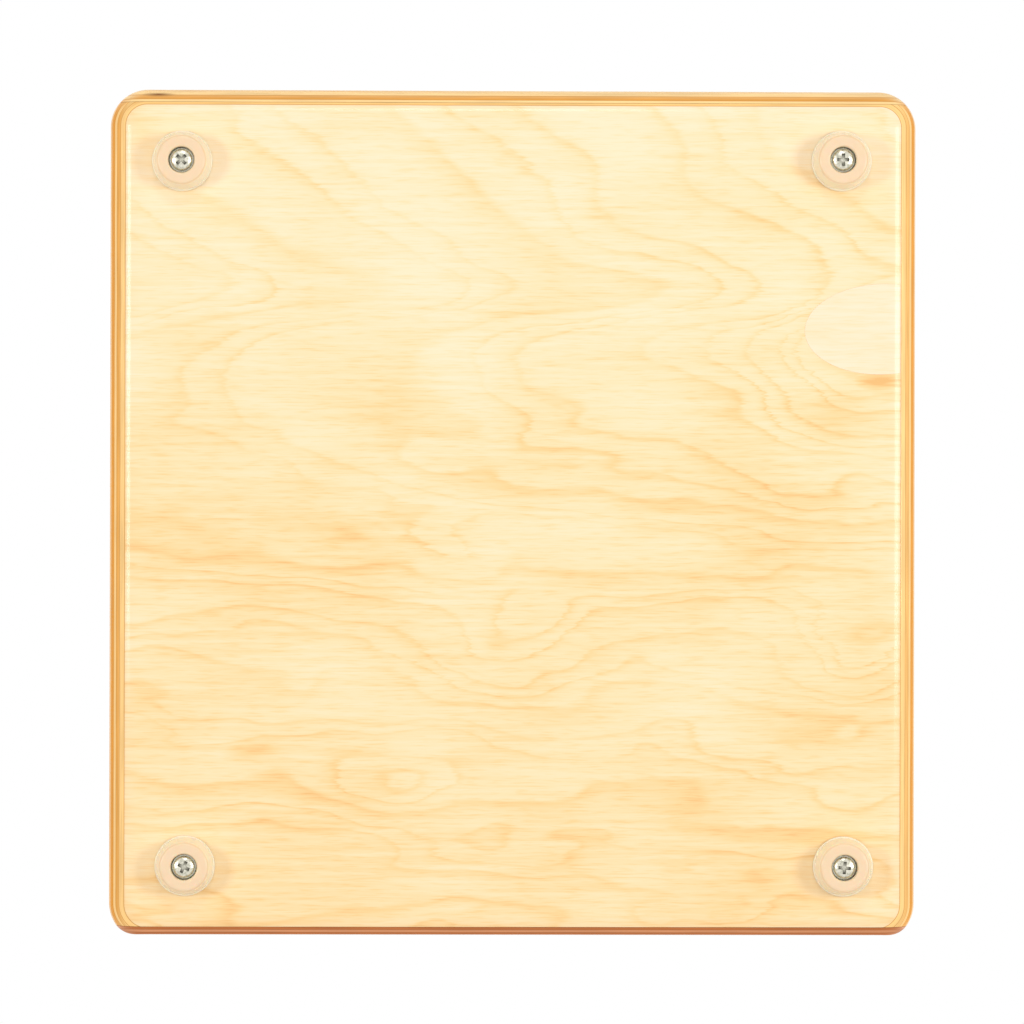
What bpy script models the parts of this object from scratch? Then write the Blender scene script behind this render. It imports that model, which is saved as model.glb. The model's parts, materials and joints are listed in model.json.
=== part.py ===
"""A cajon: a birch plywood box drum with a thin playing plate, a ported back and a wire snare inside.

Metres, +Z up. The feet stand on z = 0 with the origin midway between them. The playing plate (tapa)
faces -Y, the back panel with its sound hole faces +Y, and left is -X.
"""

import math

import bmesh
import bpy
from mathutils import Vector

# Box
BODY_WIDTH = 0.300
BODY_DEPTH = 0.314
BODY_HEIGHT = 0.470
PANEL_THICKNESS = 0.012
TAPA_THICKNESS = 0.003
BACK_THICKNESS = 0.005
CORNER_RADIUS = 0.012
EDGE_RADIUS = 0.011
FRONT_EDGE_RADIUS = 0.004
BATTEN_SIZE = 0.018
SOUND_HOLE_DIAMETER = 0.115
SOUND_HOLE_BELOW_SEAT = 0.155

# Oval repair let into the face veneer of the bottom
VENEER_THICKNESS = 0.00133
PATCH_LENGTH = 0.0530
PATCH_WIDTH = 0.0334
PATCH_FROM_LEFT_SIDE = 0.0152
PATCH_FROM_BACK = 0.0889
PATCH_GLUE_LINE = 0.0001

# Rubber feet, with their washers and screws
FOOT_HEIGHT = 0.010
FOOT_BASE_DIAMETER = 0.0224
FOOT_TIP_DIAMETER = 0.0184
FOOT_TIP_ROUND = 0.0013
FOOT_RECESS_DEPTH = 0.0050
FOOT_LIP_ROUND = 0.0008
FOOT_INSET_X = 0.0278
FOOT_INSET_Y = 0.0263
FOOT_DRIFT = {
    "front_left": (-0.0005, -0.0005),
    "front_right": (-0.0008, -0.0005),
    "back_left": (0.0006, -0.0001),
    "back_right": (0.0007, -0.0009),
}
WASHER_DIAMETER = 0.0090
WASHER_THICKNESS = 0.0008
FOOT_SCREW_HEAD_DIAMETER = 0.0080
FOOT_SCREW_HEAD_HEIGHT = 0.0030
FOOT_SCREW_DIAMETER = 0.0042
CROSS_LENGTH = 0.0046
CROSS_WIDTH = 0.0012
CROSS_DEPTH = 0.0018

# Countersunk screws round the tapa
TAPA_SCREW_HEAD_DIAMETER = 0.0070
TAPA_SCREW_HEAD_HEIGHT = 0.0020
TAPA_SCREW_DIAMETER = 0.0034
TAPA_SCREWS_PER_SIDE = 5
TAPA_SCREW_END_INSET = 0.028
TAPA_SCREW_ROW_SPACING = 0.090

# Snare: a bar that turns in two bearers and carries two sets of strands
BAR_SIZE = 0.016
TENON_DIAMETER = 0.012
BEARER_THICKNESS = 0.015
BEARER_DEPTH = 0.030
BEARER_HEIGHT = 0.040
SNARE_HEADROOM = 0.020
STRAND_LENGTH = 0.116
STRAND_DIAMETER = 0.0018
STRAND_PITCH = 0.0040
STRANDS_PER_SET = 10
STRAND_SUNK = 0.0004
SNARE_SET_OFFSET = 0.058
PLATE_THICKNESS = 0.0010
PLATE_MARGIN = 0.0040
PLATE_SCREW_HEAD_DIAMETER = 0.0054
PLATE_SCREW_HEAD_HEIGHT = 0.0020
PLATE_SCREW_DIAMETER = 0.0028
PLATE_SCREW_SPACING = 0.024
PLATE_SCREW_BELOW_MIDDLE = 0.0040

# Fits and facets
GLUE_GAP = 0.0003
FIT = 0.0003
SCREW_TIP_COVER = 0.0020
SCREW_TIP_LENGTH = 0.0030
CUT_MARGIN = 0.0050
MERGE_DISTANCE = 0.00001
ROUND_SEGMENTS = 8
ARC_STEPS = 3
FOOT_STEPS = 32
SCREW_STEPS = 20
SMALL_STEPS = 12
HOLE_STEPS = 48
STRAND_STEPS = 8
DOME_STEPS = 4
DOME_SHARE = 0.45
SMOOTH_ANGLE = math.radians(35.0)

# Planes worked out from the sizes above
LEFT = -BODY_WIDTH / 2
RIGHT = BODY_WIDTH / 2
FRONT = -BODY_DEPTH / 2
BACK = BODY_DEPTH / 2
BOTTOM = FOOT_HEIGHT
SEAT = FOOT_HEIGHT + BODY_HEIGHT
FRAME_FRONT = FRONT + TAPA_THICKNESS + GLUE_GAP
FRAME_BACK = BACK - BACK_THICKNESS - GLUE_GAP
INNER_LEFT = LEFT + PANEL_THICKNESS + GLUE_GAP
INNER_RIGHT = RIGHT - PANEL_THICKNESS - GLUE_GAP
INNER_BOTTOM = BOTTOM + PANEL_THICKNESS + GLUE_GAP
INNER_TOP = SEAT - PANEL_THICKNESS - GLUE_GAP

# The snare bar's axis lies in the middle of its bearers, which stand behind the front battens
PIVOT_Y = FRAME_FRONT + BATTEN_SIZE + GLUE_GAP + BEARER_DEPTH / 2
PIVOT_Z = INNER_TOP - BATTEN_SIZE - SNARE_HEADROOM - STRAND_LENGTH


def linear_colour(hex_code):
    """The linear RGBA of an sRGB colour such as F2D9A6."""
    channels = [int(hex_code[i : i + 2], 16) / 255 for i in (0, 2, 4)]
    linear = [c / 12.92 if c <= 0.04045 else ((c + 0.055) / 1.055) ** 2.4 for c in channels]
    return (*linear, 1.0)


def finish(name, hex_code, roughness, metallic=0.0, transmission=0.0):
    """A Principled material named for what the real surface is."""
    material = bpy.data.materials.new(name)
    material.use_nodes = True
    shader = material.node_tree.nodes["Principled BSDF"]
    shader.inputs["Base Color"].default_value = linear_colour(hex_code)
    shader.inputs["Roughness"].default_value = roughness
    shader.inputs["Metallic"].default_value = metallic
    shader.inputs["Transmission Weight"].default_value = transmission
    return material


def collection(name, parent):
    made = bpy.data.collections.new(name)
    parent.children.link(made)
    return made


def place(name, mesh, location, home, material=None, parent=None, rotation=(0.0, 0.0, 0.0)):
    """An object that holds this mesh; without a material it is a cutter and stays out of renders."""
    piece = bpy.data.objects.new(name, mesh)
    home.objects.link(piece)
    piece.parent = parent
    piece.location = location
    piece.rotation_euler = rotation
    if material is None:
        piece.hide_render = True
        piece.display_type = "WIRE"
    elif not mesh.materials:
        mesh.materials.append(material)
    return piece


def slab(name, low, high, home, material=None, parent=None):
    """A box between two corners, given in its parent's frame, with its origin in its middle."""
    low = Vector(low)
    high = Vector(high)
    mesh = bpy.data.meshes.new(name)
    shape = bmesh.new()
    bmesh.ops.create_cube(shape, size=1.0)
    bmesh.ops.scale(shape, vec=high - low, verts=shape.verts)
    shape.to_mesh(mesh)
    shape.free()
    return place(name, mesh, (low + high) / 2, home, material, parent)


def rod(name, radius, length, home, location, rotation, steps, parent=None):
    """A plain cylinder about its own Z, used as a cutter or joined to another piece."""
    mesh = bpy.data.meshes.new(name)
    shape = bmesh.new()
    bmesh.ops.create_cone(
        shape, cap_ends=True, segments=steps, radius1=radius, radius2=radius, depth=length
    )
    shape.to_mesh(mesh)
    shape.free()
    return place(name, mesh, location, home, None, parent, rotation)


def arc(centre, radius, start, end):
    """Points of a quarter or other part of a circle in a turned profile, angles in degrees."""
    angles = [math.radians(start + (end - start) * i / ARC_STEPS) for i in range(ARC_STEPS + 1)]
    return [(centre[0] + radius * math.cos(a), centre[1] + radius * math.sin(a)) for a in angles]


def turned(name, profile, home, steps, ring=False):
    """A turned shape: (radius, height) points run down its outer side; a ring's profile closes on itself."""
    mesh = bpy.data.meshes.new(name)
    links = [(i, i + 1) for i in range(len(profile) - 1)]
    if ring:
        links.append((len(profile) - 1, 0))
    mesh.from_pydata([(radius, 0.0, height) for radius, height in profile], links, [])
    piece = place(name, mesh, (0.0, 0.0, 0.0), home)
    turn = piece.modifiers.new("Turn", "SCREW")
    turn.steps = steps
    turn.render_steps = steps
    turn.use_merge_vertices = True
    turn.merge_threshold = MERGE_DISTANCE
    return piece


def boolean(piece, operation, other):
    """Cuts, joins or trims a piece with another object, or with every object of a collection."""
    step = piece.modifiers.new(other.name, "BOOLEAN")
    step.operation = operation
    if isinstance(other, bpy.types.Collection):
        step.operand_type = "COLLECTION"
        step.collection = other
    else:
        step.object = other


def finished_mesh(piece):
    """The mesh of a round piece with its modifiers applied, shaded smooth; the piece itself is removed."""
    graph = bpy.context.evaluated_depsgraph_get()
    mesh = bpy.data.meshes.new_from_object(piece.evaluated_get(graph))
    mesh.name = piece.name
    bpy.data.objects.remove(piece)
    mesh.shade_smooth()
    mesh.set_sharp_from_angle(angle=SMOOTH_ANGLE)
    return mesh


def outer_form(home):
    """The rounded block that every panel is trimmed to: round corners, broad round-overs, eased front."""
    block = slab("outer_form", (LEFT, FRONT, BOTTOM), (RIGHT, BACK, SEAT), home)
    shape = bmesh.new()
    shape.from_mesh(block.data)
    weight = shape.edges.layers.float.new("bevel_weight_edge")
    widest = max(CORNER_RADIUS, EDGE_RADIUS, FRONT_EDGE_RADIUS)
    for edge in shape.edges:
        first, second = edge.verts
        if first.co.z != second.co.z:
            radius = CORNER_RADIUS
        elif max(first.co.y, second.co.y) < 0.0:
            radius = FRONT_EDGE_RADIUS
        else:
            radius = EDGE_RADIUS
        edge[weight] = radius / widest
    shape.to_mesh(block.data)
    shape.free()
    rounding = block.modifiers.new("Round edges", "BEVEL")
    rounding.limit_method = "WEIGHT"
    rounding.width = widest
    rounding.segments = ROUND_SEGMENTS
    return block


def add_panels(parts, cutters, birch, tapa_wood, root):
    """Six plates, each a slab trimmed to the outer form: the sides stand between bottom and seat."""
    form = outer_form(cutters)
    past_left = LEFT - CUT_MARGIN
    past_right = RIGHT + CUT_MARGIN
    past_bottom = BOTTOM - CUT_MARGIN
    past_seat = SEAT + CUT_MARGIN
    bottom_top = BOTTOM + PANEL_THICKNESS
    seat_under = SEAT - PANEL_THICKNESS
    limits = {
        "bottom_panel": ((past_left, FRAME_FRONT, past_bottom), (past_right, FRAME_BACK, bottom_top)),
        "top_panel": ((past_left, FRAME_FRONT, seat_under), (past_right, FRAME_BACK, past_seat)),
        "left_side": (
            (past_left, FRAME_FRONT, INNER_BOTTOM),
            (LEFT + PANEL_THICKNESS, FRAME_BACK, INNER_TOP),
        ),
        "right_side": (
            (RIGHT - PANEL_THICKNESS, FRAME_FRONT, INNER_BOTTOM),
            (past_right, FRAME_BACK, INNER_TOP),
        ),
        "tapa": (
            (past_left, FRONT - CUT_MARGIN, past_bottom),
            (past_right, FRONT + TAPA_THICKNESS, past_seat),
        ),
        "back_panel": (
            (past_left, BACK - BACK_THICKNESS, past_bottom),
            (past_right, BACK + CUT_MARGIN, past_seat),
        ),
    }
    panels = {}
    for name, (low, high) in limits.items():
        wood = tapa_wood if name == "tapa" else birch
        panels[name] = slab(name, low, high, parts, wood, root)
        boolean(panels[name], "INTERSECT", form)
    hole = rod(
        "sound_hole",
        SOUND_HOLE_DIAMETER / 2,
        BACK_THICKNESS + 2 * CUT_MARGIN,
        cutters,
        (0.0, BACK - BACK_THICKNESS / 2, SEAT - SOUND_HOLE_BELOW_SEAT),
        (math.radians(90.0), 0.0, 0.0),
        HOLE_STEPS,
    )
    boolean(panels["back_panel"], "DIFFERENCE", hole)
    add_veneer_patch(parts, cutters, birch, root, panels["bottom_panel"], form)
    return panels


def add_veneer_patch(parts, cutters, birch, root, panel, form):
    """An oval of sound veneer in a pocket of the bottom's face, trimmed with the panel's own edge."""
    centre = (LEFT + PATCH_FROM_LEFT_SIDE, BACK - PATCH_FROM_BACK)

    def oval(name, home, grow, material=None, parent=None):
        mesh = bpy.data.meshes.new(name)
        shape = bmesh.new()
        depth = CUT_MARGIN + VENEER_THICKNESS + grow
        bmesh.ops.create_cone(
            shape, cap_ends=True, segments=HOLE_STEPS, radius1=0.5, radius2=0.5, depth=depth
        )
        size = (PATCH_LENGTH + 2 * grow, PATCH_WIDTH + 2 * grow, 1.0)
        bmesh.ops.scale(shape, vec=size, verts=shape.verts)
        shape.to_mesh(mesh)
        shape.free()
        return place(name, mesh, (*centre, BOTTOM - CUT_MARGIN + depth / 2), home, material, parent)

    patch = oval("veneer_patch", parts, 0.0, birch, root)
    boolean(patch, "INTERSECT", form)
    boolean(panel, "DIFFERENCE", oval("veneer_pocket", cutters, PATCH_GLUE_LINE))


def add_battens(parts, softwood, root):
    """Square strips in the front and back corners of the box, uprights first, rails between them."""
    battens = {}
    spans = {
        "front": (FRAME_FRONT, FRAME_FRONT + BATTEN_SIZE),
        "back": (FRAME_BACK - BATTEN_SIZE, FRAME_BACK),
    }
    rail_left = INNER_LEFT + BATTEN_SIZE + GLUE_GAP
    rail_right = INNER_RIGHT - BATTEN_SIZE - GLUE_GAP
    for face, (near, far) in spans.items():
        limits = {
            "left": ((INNER_LEFT, INNER_BOTTOM), (INNER_LEFT + BATTEN_SIZE, INNER_TOP)),
            "right": ((INNER_RIGHT - BATTEN_SIZE, INNER_BOTTOM), (INNER_RIGHT, INNER_TOP)),
            "bottom": ((rail_left, INNER_BOTTOM), (rail_right, INNER_BOTTOM + BATTEN_SIZE)),
            "top": ((rail_left, INNER_TOP - BATTEN_SIZE), (rail_right, INNER_TOP)),
        }
        for edge, ((x_low, z_low), (x_high, z_high)) in limits.items():
            name = f"{face}_batten_{edge}"
            battens[name] = slab(name, (x_low, near, z_low), (x_high, far, z_high), parts, softwood, root)
    return battens


def foot_centres():
    """Where the four feet stand: set in from the sides, with the small drift of hand work."""
    centres = {}
    for name, (drift_x, drift_y) in FOOT_DRIFT.items():
        x = RIGHT - FOOT_INSET_X if name.endswith("right") else LEFT + FOOT_INSET_X
        y = BACK - FOOT_INSET_Y if name.startswith("back") else FRONT + FOOT_INSET_Y
        centres[name] = (x + drift_x, y + drift_y)
    return centres


def foot_profile():
    """Tapered foot with a rounded tip, a recess for washer and head, and a hole through its web."""
    base = FOOT_BASE_DIAMETER / 2
    tip = FOOT_TIP_DIAMETER / 2
    recess = WASHER_DIAMETER / 2 + FIT
    hole = FOOT_SCREW_DIAMETER / 2 + FIT
    top = FOOT_HEIGHT - GLUE_GAP
    outer = arc((tip - FOOT_TIP_ROUND, FOOT_TIP_ROUND), FOOT_TIP_ROUND, 0.0, -90.0)
    lip = arc((recess + FOOT_LIP_ROUND, FOOT_LIP_ROUND), FOOT_LIP_ROUND, -90.0, -180.0)
    web = [(recess, FOOT_RECESS_DEPTH), (hole, FOOT_RECESS_DEPTH), (hole, top)]
    return [(base, top), *outer, *lip, *web]


def washer_profile():
    outer = WASHER_DIAMETER / 2
    inner = FOOT_SCREW_DIAMETER / 2 + FIT
    top = FOOT_RECESS_DEPTH - FIT
    bottom = top - WASHER_THICKNESS
    return [(outer, top), (outer, bottom), (inner, bottom), (inner, top)]


def screw_profile(head, head_height, shank, length, grow=0.0):
    """A countersunk screw, head face on z = 0 and point downwards; grow makes the hole it goes in."""
    return [
        (0.0, grow),
        (head / 2 + grow, grow),
        (shank / 2 + grow, -head_height - grow),
        (shank / 2 + grow, -length + SCREW_TIP_LENGTH),
        (0.0, -length - grow),
    ]


def pan_profile(head, head_height, shank, length):
    """A pan-head screw: domed head above z = 0, shank and point below it."""
    crown = head_height * DOME_SHARE
    side = head_height - crown
    angles = [math.radians(90.0 * i / DOME_STEPS) for i in range(DOME_STEPS + 1)]
    dome = [(math.sin(a) * head / 2, side + math.cos(a) * crown) for a in angles]
    return [
        *dome,
        (head / 2, 0.0),
        (shank / 2, 0.0),
        (shank / 2, -length + SCREW_TIP_LENGTH),
        (0.0, -length),
    ]


def foot_screw_mesh(cutters, length):
    """Pan head with a cross recess: two tapered wings are cut out of the head."""
    screw = turned(
        "foot_screw",
        pan_profile(FOOT_SCREW_HEAD_DIAMETER, FOOT_SCREW_HEAD_HEIGHT, FOOT_SCREW_DIAMETER, length),
        cutters,
        SCREW_STEPS,
    )
    floor = FOOT_SCREW_HEAD_HEIGHT - CROSS_DEPTH
    wings = []
    for name, turn in (("cross_wing_a", 0.0), ("cross_wing_b", 90.0)):
        low = (-CROSS_LENGTH / 2, -CROSS_WIDTH / 2, floor)
        high = (CROSS_LENGTH / 2, CROSS_WIDTH / 2, FOOT_SCREW_HEAD_HEIGHT + FIT)
        wing = slab(name, low, high, cutters)
        wing.rotation_euler.z = math.radians(turn)
        for vertex in wing.data.vertices:
            if vertex.co.z < 0.0:
                vertex.co.x *= CROSS_WIDTH / CROSS_LENGTH
        boolean(screw, "DIFFERENCE", wing)
        wings.append(wing)
    mesh = finished_mesh(screw)
    for wing in wings:
        bpy.data.objects.remove(wing)
    return mesh


def add_feet(parts, cutters, rubber, steel, root, bottom_panel):
    """Four rubber feet, each held by a washer and a screw that bites into the bottom panel."""
    foot = finished_mesh(turned("foot", foot_profile(), cutters, FOOT_STEPS, ring=True))
    washer = finished_mesh(turned("foot_washer", washer_profile(), cutters, SCREW_STEPS, ring=True))
    head_seat = FOOT_RECESS_DEPTH - WASHER_THICKNESS - 2 * FIT
    tip = BOTTOM + PANEL_THICKNESS - SCREW_TIP_COVER
    screw = foot_screw_mesh(cutters, tip - head_seat)
    pilots = collection("foot_pilot_holes", cutters)
    pilot_top = tip + FIT
    pilot_low = BOTTOM - CUT_MARGIN
    for name, (x, y) in foot_centres().items():
        place(f"foot_{name}", foot, (x, y, 0.0), parts, rubber, root)
        place(f"foot_washer_{name}", washer, (x, y, 0.0), parts, steel, root)
        upside_down = (math.radians(180.0), 0.0, 0.0)
        place(f"foot_screw_{name}", screw, (x, y, head_seat), parts, steel, root, upside_down)
        rod(
            f"foot_pilot_{name}",
            FOOT_SCREW_DIAMETER / 2 + FIT,
            pilot_top - pilot_low,
            pilots,
            (x, y, (pilot_top + pilot_low) / 2),
            (0.0, 0.0, 0.0),
            SMALL_STEPS,
        )
    boolean(bottom_panel, "DIFFERENCE", pilots)


def tapa_screw_places():
    """Screw centres on the tapa: a row down each upright batten, and two in each rail."""
    upright_x = INNER_RIGHT - BATTEN_SIZE / 2
    low = INNER_BOTTOM + TAPA_SCREW_END_INSET
    high = INNER_TOP - TAPA_SCREW_END_INSET
    step = (high - low) / (TAPA_SCREWS_PER_SIDE - 1)
    places = {}
    for i in range(TAPA_SCREWS_PER_SIDE):
        places[f"tapa_screw_left_{i + 1}"] = (-upright_x, low + i * step)
        places[f"tapa_screw_right_{i + 1}"] = (upright_x, low + i * step)
    for edge, z in (("bottom", INNER_BOTTOM + BATTEN_SIZE / 2), ("top", INNER_TOP - BATTEN_SIZE / 2)):
        places[f"tapa_screw_{edge}_left"] = (-TAPA_SCREW_ROW_SPACING / 2, z)
        places[f"tapa_screw_{edge}_right"] = (TAPA_SCREW_ROW_SPACING / 2, z)
    return places


def add_tapa_screws(parts, cutters, steel, root, panels, battens):
    """Countersunk screws through the tapa into the front battens, with the holes they sit in."""
    sizes = (TAPA_SCREW_HEAD_DIAMETER, TAPA_SCREW_HEAD_HEIGHT, TAPA_SCREW_DIAMETER)
    length = TAPA_THICKNESS + GLUE_GAP + BATTEN_SIZE - SCREW_TIP_COVER
    screw = finished_mesh(turned("tapa_screw", screw_profile(*sizes, length), cutters, SMALL_STEPS))
    hole = finished_mesh(turned("tapa_hole", screw_profile(*sizes, length, FIT), cutters, SMALL_STEPS))
    holes = collection("tapa_screw_holes", cutters)
    facing_front = (math.radians(90.0), 0.0, 0.0)
    for name, (x, z) in tapa_screw_places().items():
        place(name, screw, (x, FRONT, z), parts, steel, root, facing_front)
        place(f"{name}_hole", hole, (x, FRONT, z), holes, rotation=facing_front)
    boolean(panels["tapa"], "DIFFERENCE", holes)
    for edge in ("left", "right", "bottom", "top"):
        boolean(battens[f"front_batten_{edge}"], "DIFFERENCE", holes)


def snare_tilt():
    """How far the bar leans at rest, so that the strands' free tips lie against the tapa."""
    forward = BAR_SIZE / 2 + GLUE_GAP + PLATE_THICKNESS + STRAND_DIAMETER - STRAND_SUNK
    to_tapa = PIVOT_Y - (FRONT + TAPA_THICKNESS) - GLUE_GAP
    reach = math.hypot(forward, STRAND_LENGTH)
    return math.asin(to_tapa / reach) - math.atan2(forward, STRAND_LENGTH)


def add_snare(parts, cutters, beech, softwood, steel, root):
    """Two bearers on the sides, and on the bar's own axis the bar, its two strand sets and their screws."""
    along_x = (0.0, math.radians(90.0), 0.0)
    for name, x_low, x_high in (
        ("snare_bearer_left", INNER_LEFT, INNER_LEFT + BEARER_THICKNESS),
        ("snare_bearer_right", INNER_RIGHT - BEARER_THICKNESS, INNER_RIGHT),
    ):
        low = (x_low, PIVOT_Y - BEARER_DEPTH / 2, PIVOT_Z - BEARER_HEIGHT / 2)
        high = (x_high, PIVOT_Y + BEARER_DEPTH / 2, PIVOT_Z + BEARER_HEIGHT / 2)
        bearer = slab(name, low, high, parts, softwood, root)
        bore = rod(
            f"{name}_bore",
            TENON_DIAMETER / 2 + FIT,
            BEARER_THICKNESS + 2 * CUT_MARGIN,
            cutters,
            ((x_low + x_high) / 2, PIVOT_Y, PIVOT_Z),
            along_x,
            FOOT_STEPS,
        )
        boolean(bearer, "DIFFERENCE", bore)

    pivot = bpy.data.objects.new("snare_pivot", None)
    parts.objects.link(pivot)
    pivot.parent = root
    pivot.location = (0.0, PIVOT_Y, PIVOT_Z)
    pivot.rotation_euler = (snare_tilt(), 0.0, 0.0)

    shoulder = INNER_RIGHT - BEARER_THICKNESS - FIT
    half = BAR_SIZE / 2
    bar = slab("snare_bar", (-shoulder, -half, -half), (shoulder, half, half), parts, beech, pivot)
    tenons = rod(
        "snare_tenons",
        TENON_DIAMETER / 2,
        2 * (INNER_RIGHT - FIT),
        cutters,
        (0.0, 0.0, 0.0),
        along_x,
        FOOT_STEPS,
        pivot,
    )
    boolean(bar, "UNION", tenons)
    sizes = (PLATE_SCREW_HEAD_DIAMETER, PLATE_SCREW_HEAD_HEIGHT, PLATE_SCREW_DIAMETER)
    length = GLUE_GAP + PLATE_THICKNESS + FIT + BAR_SIZE - SCREW_TIP_COVER
    screw = finished_mesh(turned("plate_screw", pan_profile(*sizes, length), cutters, SMALL_STEPS))
    holes = collection("plate_screw_holes", cutters)
    plate_front = -half - GLUE_GAP - PLATE_THICKNESS - FIT
    facing_front = (math.radians(90.0), 0.0, 0.0)
    for side, outward in (("left", -1), ("right", 1)):
        middle = outward * SNARE_SET_OFFSET
        add_strands(f"snare_strands_{side}", middle, parts, cutters, steel, pivot, holes)
        for end, step in (("inner", -outward), ("outer", outward)):
            x = middle + step * PLATE_SCREW_SPACING / 2
            spot = (x, plate_front, -PLATE_SCREW_BELOW_MIDDLE)
            place(f"plate_screw_{side}_{end}", screw, spot, parts, steel, pivot, facing_front)
            rod(
                f"plate_hole_{side}_{end}",
                PLATE_SCREW_DIAMETER / 2 + FIT,
                2 * (length + FIT),
                holes,
                spot,
                facing_front,
                SMALL_STEPS,
                pivot,
            )
    boolean(bar, "DIFFERENCE", holes)


def add_strands(name, middle, parts, cutters, steel, pivot, holes):
    """A plate on the bar's front face with its row of strands soldered to it, one piece as on a real set."""
    half_row = STRAND_PITCH * (STRANDS_PER_SET - 1) / 2
    half_width = half_row + PLATE_MARGIN
    back_face = -BAR_SIZE / 2 - GLUE_GAP
    front_face = back_face - PLATE_THICKNESS
    plate = slab(
        name,
        (middle - half_width, front_face, -BAR_SIZE / 2),
        (middle + half_width, back_face, BAR_SIZE / 2),
        parts,
        steel,
        pivot,
    )
    row = collection(f"{name}_row", cutters)
    for i in range(STRANDS_PER_SET):
        x = middle - half_row + i * STRAND_PITCH
        centre = (x, front_face + STRAND_SUNK - STRAND_DIAMETER / 2, STRAND_LENGTH / 2)
        rod(
            f"{name}_{i + 1}",
            STRAND_DIAMETER / 2,
            STRAND_LENGTH,
            row,
            centre,
            (0.0, 0.0, 0.0),
            STRAND_STEPS,
            pivot,
        )
    boolean(plate, "UNION", row)
    boolean(plate, "DIFFERENCE", holes)


def main():
    for leftover in list(bpy.data.objects):
        bpy.data.objects.remove(leftover)
    scene = bpy.context.scene
    parts = collection("cajon", scene.collection)
    cutters = collection("cutters", scene.collection)

    birch = finish("lacquered_birch_plywood", "FBE3B0", 0.42)
    tapa_wood = finish("lacquered_okoume_plywood", "C98F62", 0.42)
    softwood = finish("sawn_pine", "E6C48C", 0.70)
    beech = finish("turned_beech", "D9AE7C", 0.55)
    rubber = finish("clear_rubber", "E9C9AE", 0.35, transmission=0.5)
    steel = finish("zinc_plated_steel", "C9CBCC", 0.30, metallic=1.0)

    root = bpy.data.objects.new("cajon_frame", None)
    parts.objects.link(root)
    panels = add_panels(parts, cutters, birch, tapa_wood, root)
    battens = add_battens(parts, softwood, root)
    add_feet(parts, cutters, rubber, steel, root, panels["bottom_panel"])
    add_tapa_screws(parts, cutters, steel, root, panels, battens)
    add_snare(parts, cutters, beech, softwood, steel, root)


main()
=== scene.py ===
# %% [markdown]
# # A cajon, seen from underneath
#
# A cajon is a wooden box drum. The player sits on it and strikes the thin plate in front. This lesson
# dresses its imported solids: every board gets its rounded edges and its plies, the feet turn into
# clear rubber, the snare gets its wound wires, and a camera looks at the underside from below.
#
# The frame comes first. It holds the solids at their real size, so each new piece takes its place
# from it and nothing is fitted by eye.

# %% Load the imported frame
import json
import math
from functools import partial

import bpy
from mathutils import Matrix, Vector


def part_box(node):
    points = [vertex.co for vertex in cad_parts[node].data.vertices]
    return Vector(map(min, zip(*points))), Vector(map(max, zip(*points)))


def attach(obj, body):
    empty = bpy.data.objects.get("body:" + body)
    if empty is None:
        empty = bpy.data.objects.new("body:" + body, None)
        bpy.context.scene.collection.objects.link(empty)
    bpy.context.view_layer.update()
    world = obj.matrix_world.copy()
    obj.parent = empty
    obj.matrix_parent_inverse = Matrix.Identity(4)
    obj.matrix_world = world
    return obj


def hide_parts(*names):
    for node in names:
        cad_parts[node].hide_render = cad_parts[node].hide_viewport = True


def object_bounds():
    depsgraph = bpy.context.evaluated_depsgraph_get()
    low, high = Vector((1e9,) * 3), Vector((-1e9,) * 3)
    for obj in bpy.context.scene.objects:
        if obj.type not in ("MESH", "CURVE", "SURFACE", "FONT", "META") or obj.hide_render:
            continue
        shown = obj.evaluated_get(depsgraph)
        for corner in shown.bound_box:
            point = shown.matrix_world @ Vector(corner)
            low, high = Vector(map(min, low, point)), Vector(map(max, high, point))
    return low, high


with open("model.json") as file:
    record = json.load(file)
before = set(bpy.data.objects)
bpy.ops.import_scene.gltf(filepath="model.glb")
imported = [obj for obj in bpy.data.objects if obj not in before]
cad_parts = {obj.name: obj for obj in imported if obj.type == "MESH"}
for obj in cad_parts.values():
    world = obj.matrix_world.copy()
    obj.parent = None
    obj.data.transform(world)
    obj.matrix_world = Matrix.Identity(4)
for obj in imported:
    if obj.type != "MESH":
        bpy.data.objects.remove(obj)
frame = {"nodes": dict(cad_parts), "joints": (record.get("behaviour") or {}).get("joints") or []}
cad_low, cad_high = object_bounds()
MM = 0.001


def in_mm(sides):
    """Lengths in mm, for printing."""
    return [round(side / MM, 2) for side in sides]


print("size in mm:", in_mm(cad_high - cad_low))

# %% [markdown]
# ## The camera
#
# The photograph looks straight up at the underside from about two metres, so the edges run parallel
# to the frame and only the feet lean out a little. A long lens gives that. The camera looks along +Z
# with the back of the drum at the top of the picture, which puts the drum's left side on the right.

# %% Camera under the box
PICTURE_WIDTH = 1024
SENSOR = 36.0
LENS = 190.0
PIXELS_PER_MM = 2.682
WIDEST_HEIGHT = 21 * MM
CAMERA_ASIDE = 33 * MM
AIM = (0.26 * MM, 0.0)
ROLL = math.radians(-0.14)

# The photo was taken a few centimetres off the middle and a touch crooked.
focal_pixels = PICTURE_WIDTH * LENS / SENSOR
distance = focal_pixels / PIXELS_PER_MM * MM
swing = math.atan2(CAMERA_ASIDE, distance)
camera_spot = (AIM[0] + CAMERA_ASIDE, AIM[1], WIDEST_HEIGHT - distance)
bpy.ops.object.camera_add(location=camera_spot, rotation=(0.0, math.pi - swing, ROLL))
camera = bpy.context.object
camera.name = "photo_camera"
camera.data.lens = LENS
camera.data.sensor_width = SENSOR
bpy.context.scene.camera = camera
print("the camera stands", round(distance, 3), "m from the box's widest part")

# %% [markdown]
# ## A few helpers
#
# Operators act on whatever is selected, so each step first selects one piece, and then the faces or
# edges of it that the step is for. Those are found by their place, as a person would pick them.


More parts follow.
